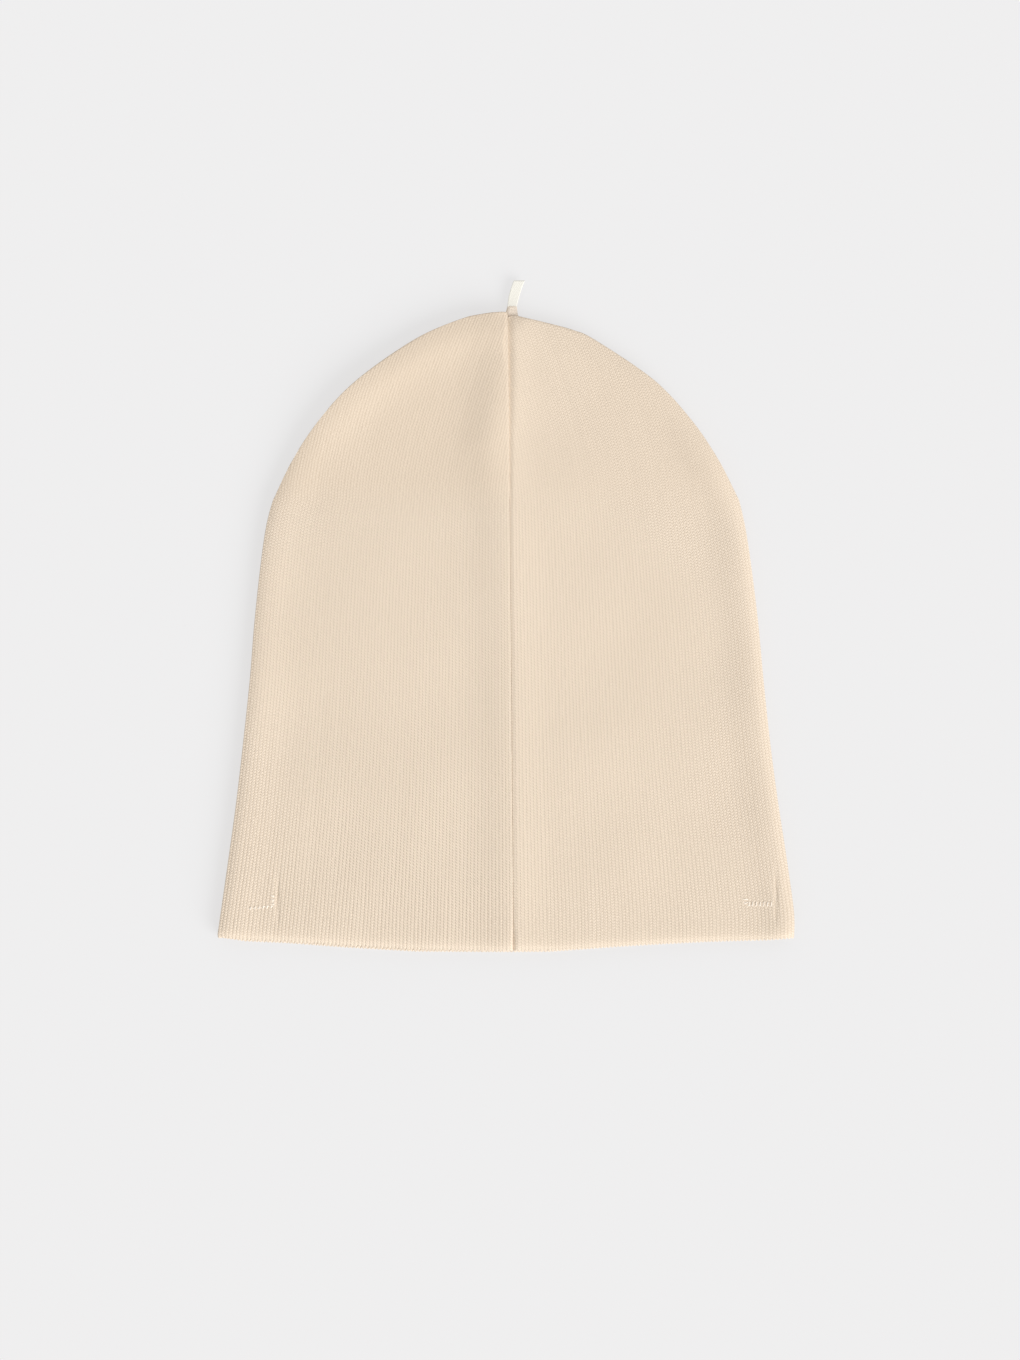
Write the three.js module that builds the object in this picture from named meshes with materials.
// A plain fine-rib knitted beanie lying flat on its back. Millimetres, +Z up, +Y towards the crown.
//
// Two knitted panels make the cap. Each one wraps a side: from the front seam out to the side fold,
// and back underneath to the back seam. Over the crown their side darts follow the outline up to the
// tip, where a folded tape tab comes out between them through a small knitted collar. The cap is a
// thin hollow shell, open at the hem, and it lies flattened under its own weight.
import * as THREE from 'three';

// Sizes shared by the pieces.
const WALL = 1.5; // thickness of the knit, ribs included
const PIECE_GAP = 0.3; // clearance between pieces that touch
const HEM_Y = -127.8; // level of the hem at the side folds
const HEM_HALF_WIDTH = 115;
const CROWN_Y = 46.6; // level where the straight sides end and the side darts begin
const TAB_TOP_Y = 134.2;

// The outline of the flattened cap, from the hem up: reach is the distance from the centre line.
const OUTLINES = {
  left_panel: {
    side: -1,
    body: [
      { y: HEM_Y, reach: HEM_HALF_WIDTH },
      { y: -97.4, reach: 110.8 },
      { y: -49.4, reach: 104.8 },
      { y: -1.4, reach: 100.2 },
      { y: CROWN_Y, reach: 93.0 },
    ],
    crown: [
      { y: CROWN_Y, reach: 93.0 },
      { y: 62.6, reach: 85.4 },
      { y: 78.6, reach: 74.8 },
      { y: 94.6, reach: 59.4 },
      { y: 110.6, reach: 37.2 },
      { y: 118.6, reach: 20.0 },
      { y: 120.9, reach: 9.5 },
      { y: 121.4, reach: 1.4 },
    ],
  },
  right_panel: {
    side: 1,
    body: [
      { y: HEM_Y, reach: HEM_HALF_WIDTH },
      { y: -97.4, reach: 112.8 },
      { y: -49.4, reach: 106.2 },
      { y: -1.4, reach: 101.0 },
      { y: CROWN_Y, reach: 93.4 },
    ],
    crown: [
      { y: CROWN_Y, reach: 93.4 },
      { y: 62.6, reach: 85.4 },
      { y: 78.6, reach: 74.6 },
      { y: 94.6, reach: 59.8 },
      { y: 110.6, reach: 36.4 },
      { y: 118.0, reach: 17.6 },
      { y: 120.0, reach: 9.6 },
      { y: 121.0, reach: 4.9 },
    ],
  },
};

// The front and back seams: a line a little right of the centre, with the cut edges turned in.
const SEAM = { x: 2.8, lean: -0.008, margin: 0.5, marginReach: 6 };

// The hem bows downwards, and the back layer reaches a little lower than the front one.
const HEM_BOW = {
  front: { drop: 5.2, shift: 6 },
  back: { drop: 6.4, shift: 5 },
};

// Heights of the lying cap: the middle of a panel, the soft roll beside each side fold and the
// ridge that the bulky seam holds up. They shrink to tipShare towards the tip.
const LOFT = { middle: 7.8, fold: 3.6, tipShare: 0.8 };
const SIDE_ROLL = { width: 4.2, power: 0.3, height: 1.9, at: 4.2, spread: 8 };
const SEAM_RIDGE = { height: 2.0, spread: 10, shift: 2.5 };

// The gap at the tip that the tab comes through, and the bluntness of the side fold.
const TIP_HOLE = { halfWidth: 3.1, halfHeight: 1.1, fade: 30 };
const FOLD_BLUNT = 0.6;

// How finely the panels are faceted.
const STEPS = { across: 18, foldPower: 1.5, body: 11, crownPerSpan: 2, outline: 12 };

// The tab: a tape folded at its far end, leaning to the right, its foot in the tip's hole.
const TAB = { width: 3.9, ply: 0.5, space: 0.5, footY: 119.4, lean: 0.26, baseX: 3.2, baseY: 124.2 };
const COLLAR = { wall: 0.6, bottomY: 121.8, topY: 124.7 };

const KNIT_COLOUR = 0xe7d6c2;
const COLLAR_COLOUR = 0xdfd2c2;
const TAPE_COLOUR = 0xf3f1e8;

const seamX = (y) => SEAM.x + SEAM.lean * y;

// Distance across the seam from a point, in from zero at the seam itself.
const seamDistance = (x, y) => Math.abs(x - seamX(y));

function splineThrough(rows, side) {
  return new THREE.SplineCurve(rows.map(({ y, reach }) => new THREE.Vector2(side * reach, y)));
}

// Shortest distance in plan from (x, y) to a polyline of Vector2 points.
function distanceToLine(points, x, y) {
  let nearest = Infinity;
  for (let k = 1; k < points.length; k += 1) {
    const start = points[k - 1];
    const run = points[k].clone().sub(start);
    const along = ((x - start.x) * run.x + (y - start.y) * run.y) / run.lengthSq();
    const t = THREE.MathUtils.clamp(along, 0, 1);
    nearest = Math.min(nearest, Math.hypot(x - start.x - t * run.x, y - start.y - t * run.y));
  }
  return nearest;
}

// Rise from 0 at the fold to 1 once the roll's width is passed: a quarter ellipse, squared up a
// little by a power under one half.
function roll(distance) {
  const left = Math.max(0, 1 - distance / SIDE_ROLL.width);
  return (1 - left * left) ** SIDE_ROLL.power;
}

// How the loft shrinks from 1 over the body to LOFT.tipShare at the tip.
function loftShare(y) {
  const t = THREE.MathUtils.clamp((y - CROWN_Y) / (121.5 - CROWN_Y), 0, 1);
  return 1 - (1 - LOFT.tipShare) * t * t;
}

// How far a row, as wide as reach from seam to fold, takes part in the hole: 1 at the hole's rim.
function tipOpening(reach) {
  return THREE.MathUtils.clamp(1 - (reach - TIP_HOLE.halfWidth) / TIP_HOLE.fade, 0, 1);
}

// Height of the outer surface at plan distance `edge` from the outline, on the front or the back.
// The blunt side fold opens to the tab's hole at the tip.
function surfaceHeight(face, x, y, edge, opening) {
  const share = loftShare(y);
  const foldZ = LOFT.fold * share;
  const blunt = THREE.MathUtils.lerp(FOLD_BLUNT, TIP_HOLE.halfHeight, opening);
  if (face === 'back') {
    return (foldZ - blunt) * (1 - roll(edge));
  }
  const sideRoll = SIDE_ROLL.height * Math.exp(-(((edge - SIDE_ROLL.at) / SIDE_ROLL.spread) ** 2));
  const fromCrest = x - seamX(y) + SEAM_RIDGE.shift;
  const ridge = SEAM_RIDGE.height * Math.exp(-((fromCrest / SEAM_RIDGE.spread) ** 2));
  const top = (LOFT.middle + sideRoll + ridge) * share;
  return foldZ + blunt + (top - foldZ - blunt) * roll(edge);
}

function hemLevel(face, x) {
  const { drop, shift } = HEM_BOW[face];
  return HEM_Y - drop * (1 - ((x + shift) / HEM_HALF_WIDTH) ** 2);
}

// The points of one row: over the front from the seam to the fold, then under to the back seam.
// Cosine spacing puts the points close together at the seam, and raised to a power even closer at
// the fold.
function outerRow(side, outline, foldPoint) {
  const bow = 1 - Math.min(1, (foldPoint.y - HEM_Y) / (CROWN_Y - HEM_Y));
  const start = seamX(foldPoint.y) + (side * PIECE_GAP) / 2;
  const opening = tipOpening(Math.abs(foldPoint.x - start));
  const rowOf = (face) => Array.from({ length: STEPS.across + 1 }, (_, k) => {
    const fromFold = ((1 + Math.cos((Math.PI * k) / STEPS.across)) / 2) ** STEPS.foldPower;
    const x = THREE.MathUtils.lerp(foldPoint.x, start, fromFold);
    const y = foldPoint.y + bow * (hemLevel(face, x) - HEM_Y);
    const edge = distanceToLine(outline, x, foldPoint.y);
    return new THREE.Vector3(x, y, surfaceHeight(face, x, foldPoint.y, edge, opening));
  });
  return [...rowOf('front'), ...rowOf('back').reverse()];
}

function outerGrid({ side, body, crown }) {
  const bodyEdge = splineThrough(body, side);
  const crownEdge = splineThrough(crown, side);
  const crownSteps = (crown.length - 1) * STEPS.crownPerSpan;
  const tipY = crown[crown.length - 1].y;
  const outline = [
    ...bodyEdge.getPoints((body.length - 1) * STEPS.outline),
    ...crownEdge.getPoints((crown.length - 1) * STEPS.outline).slice(1),
    new THREE.Vector2(seamX(tipY), tipY),
  ];
  const foldPoints = [...bodyEdge.getPoints(STEPS.body), ...crownEdge.getPoints(crownSteps).slice(1)];
  return foldPoints.map((foldPoint) => outerRow(side, outline, foldPoint));
}

// The inner surface: each point moved inwards along the normal by the wall, and by the turned-in
// margin beside the seams. Hem points stay at their level, the rim of the tip hole goes straight
// down, and near the seam the sideways move fades out, so no point crosses the seam.
function innerGrid(outer, side) {
  const lastRow = outer.length - 1;
  const lastColumn = outer[0].length - 1;
  return outer.map((row, j) => row.map((point, i) => {
    const across = row[Math.min(i + 1, lastColumn)].clone().sub(row[Math.max(i - 1, 0)]);
    const along = outer[Math.min(j + 1, lastRow)][i].clone().sub(outer[Math.max(j - 1, 0)][i]);
    const normal = across.cross(along).normalize().multiplyScalar(side);
    normal.x *= Math.min(1, Math.abs(point.x - row[0].x) / WALL);
    const opening = tipOpening(Math.abs(row[STEPS.across].x - row[0].x));
    const seam = seamDistance(point.x, point.y) / SEAM.marginReach;
    const margin = SEAM.margin * (1 - opening) * Math.exp(-(seam ** 4));
    const inwards = normal.multiplyScalar(-(WALL + margin));
    const inner = inwards.lerp(new THREE.Vector3(0, -WALL, 0), opening).add(point);
    if (j === 0) {
      inner.y = point.y;
    }
    return inner;
  }));
}

// Joins the two grids into one closed shell: outer faces, inner faces, and a strip round the rim.
function shellGeometry(outer, inner, side) {
  const rows = outer.length;
  const columns = outer[0].length;
  const outerAt = (j, i) => j * columns + i;
  const innerAt = (j, i) => rows * columns + outerAt(j, i);
  const index = [];
  const addQuad = (a, b, c, d) => {
    index.push(...(side > 0 ? [a, b, c, a, c, d] : [a, c, b, a, d, c]));
  };
  for (let j = 1; j < rows; j += 1) {
    for (let i = 1; i < columns; i += 1) {
      addQuad(outerAt(j - 1, i - 1), outerAt(j - 1, i), outerAt(j, i), outerAt(j, i - 1));
      addQuad(innerAt(j - 1, i - 1), innerAt(j, i - 1), innerAt(j, i), innerAt(j - 1, i));
    }
    const last = columns - 1;
    addQuad(outerAt(j - 1, 0), outerAt(j, 0), innerAt(j, 0), innerAt(j - 1, 0));
    addQuad(outerAt(j - 1, last), innerAt(j - 1, last), innerAt(j, last), outerAt(j, last));
  }
  for (let i = 1; i < columns; i += 1) {
    const last = rows - 1;
    addQuad(outerAt(0, i - 1), innerAt(0, i - 1), innerAt(0, i), outerAt(0, i));
    addQuad(outerAt(last, i - 1), outerAt(last, i), innerAt(last, i), innerAt(last, i - 1));
  }
  const geometry = new THREE.BufferGeometry();
  geometry.setFromPoints([...outer.flat(), ...inner.flat()]);
  geometry.setIndex(index);
  geometry.computeVertexNormals();
  return geometry;
}

function panelMesh(name) {
  const outer = outerGrid(OUTLINES[name]);
  const { side } = OUTLINES[name];
  const geometry = shellGeometry(outer, innerGrid(outer, side), side);
  const material = new THREE.MeshStandardMaterial({ color: KNIT_COLOUR, roughness: 0.95, metalness: 0 });
  const mesh = new THREE.Mesh(geometry, material);
  mesh.name = name;
  return mesh;
}

// Leans a piece of the tab: x grows by TAB.lean for each millimetre of y above the tab's base.
function leanWithTab(geometry) {
  const shear = new THREE.Matrix4().makeShear(0, 0, TAB.lean, 0, 0, 0);
  return geometry.applyMatrix4(shear).translate(TAB.baseX - TAB.lean * TAB.baseY, 0, 0);
}

const TAB_Z = LOFT.fold * LOFT.tipShare;
const TAB_HALF_THICKNESS = TAB.ply + TAB.space / 2;

// The tape seen from its edge is a hairpin: two plies joined by a half-round fold at the far end.
function tabMesh() {
  const bendY = TAB_TOP_Y - TAB_HALF_THICKNESS;
  const hairpin = new THREE.Shape();
  hairpin.moveTo(TAB.footY, -TAB_HALF_THICKNESS);
  hairpin.lineTo(bendY, -TAB_HALF_THICKNESS);
  hairpin.absarc(bendY, 0, TAB_HALF_THICKNESS, -Math.PI / 2, Math.PI / 2, false);
  hairpin.lineTo(TAB.footY, TAB_HALF_THICKNESS);
  hairpin.lineTo(TAB.footY, TAB.space / 2);
  hairpin.lineTo(bendY, TAB.space / 2);
  hairpin.absarc(bendY, 0, TAB.space / 2, Math.PI / 2, -Math.PI / 2, true);
  hairpin.lineTo(TAB.footY, -TAB.space / 2);
  hairpin.closePath();
  const settings = { depth: TAB.width, bevelEnabled: false, curveSegments: 6 };
  const geometry = new THREE.ExtrudeGeometry(hairpin, settings);
  geometry.translate(0, 0, -TAB.width / 2);
  // The profile's first axis becomes +Y, its second +Z, and the tape's width lies along +X.
  const stand = new THREE.Matrix4().makeBasis(
    new THREE.Vector3(0, 1, 0),
    new THREE.Vector3(0, 0, 1),
    new THREE.Vector3(1, 0, 0),
  );
  const material = new THREE.MeshStandardMaterial({ color: TAPE_COLOUR, roughness: 0.85, metalness: 0 });
  const mesh = new THREE.Mesh(leanWithTab(geometry.applyMatrix4(stand)), material);
  mesh.position.z = TAB_Z;
  mesh.name = 'crown_tab';
  return mesh;
}

// A rounded rectangle centred on the origin, drawn as a closed path.
function roundedRectangle(path, halfWidth, halfHeight, radius) {
  path.absarc(halfWidth - radius, halfHeight - radius, radius, 0, Math.PI / 2);
  path.absarc(radius - halfWidth, halfHeight - radius, radius, Math.PI / 2, Math.PI);
  path.absarc(radius - halfWidth, radius - halfHeight, radius, Math.PI, 1.5 * Math.PI);
  path.absarc(halfWidth - radius, radius - halfHeight, radius, 1.5 * Math.PI, 2 * Math.PI);
  path.closePath();
  return path;
}

// The knitted end of the crown, gathered round the tab's foot.
function collarMesh() {
  const holeHalfWidth = TAB.width / 2 + PIECE_GAP;
  const holeHalfHeight = TAB_HALF_THICKNESS + PIECE_GAP;
  const ring = roundedRectangle(
    new THREE.Shape(),
    holeHalfWidth + COLLAR.wall,
    holeHalfHeight + COLLAR.wall,
    COLLAR.wall + PIECE_GAP,
  );
  ring.holes.push(roundedRectangle(new THREE.Path(), holeHalfWidth, holeHalfHeight, PIECE_GAP));
  const depth = COLLAR.topY - COLLAR.bottomY;
  const geometry = new THREE.ExtrudeGeometry(ring, { depth, bevelEnabled: false, curveSegments: 4 });
  // Turned so that the ring's depth runs from the collar's top down to its bottom along Y.
  geometry.rotateX(Math.PI / 2).translate(0, COLLAR.topY, 0);
  const material = new THREE.MeshStandardMaterial({ color: COLLAR_COLOUR, roughness: 0.95, metalness: 0 });
  const mesh = new THREE.Mesh(leanWithTab(geometry), material);
  mesh.position.z = TAB_Z;
  mesh.name = 'crown_collar';
  return mesh;
}

const beanie = new THREE.Group();
beanie.add(panelMesh('left_panel'), panelMesh('right_panel'), collarMesh(), tabMesh());

export default beanie;
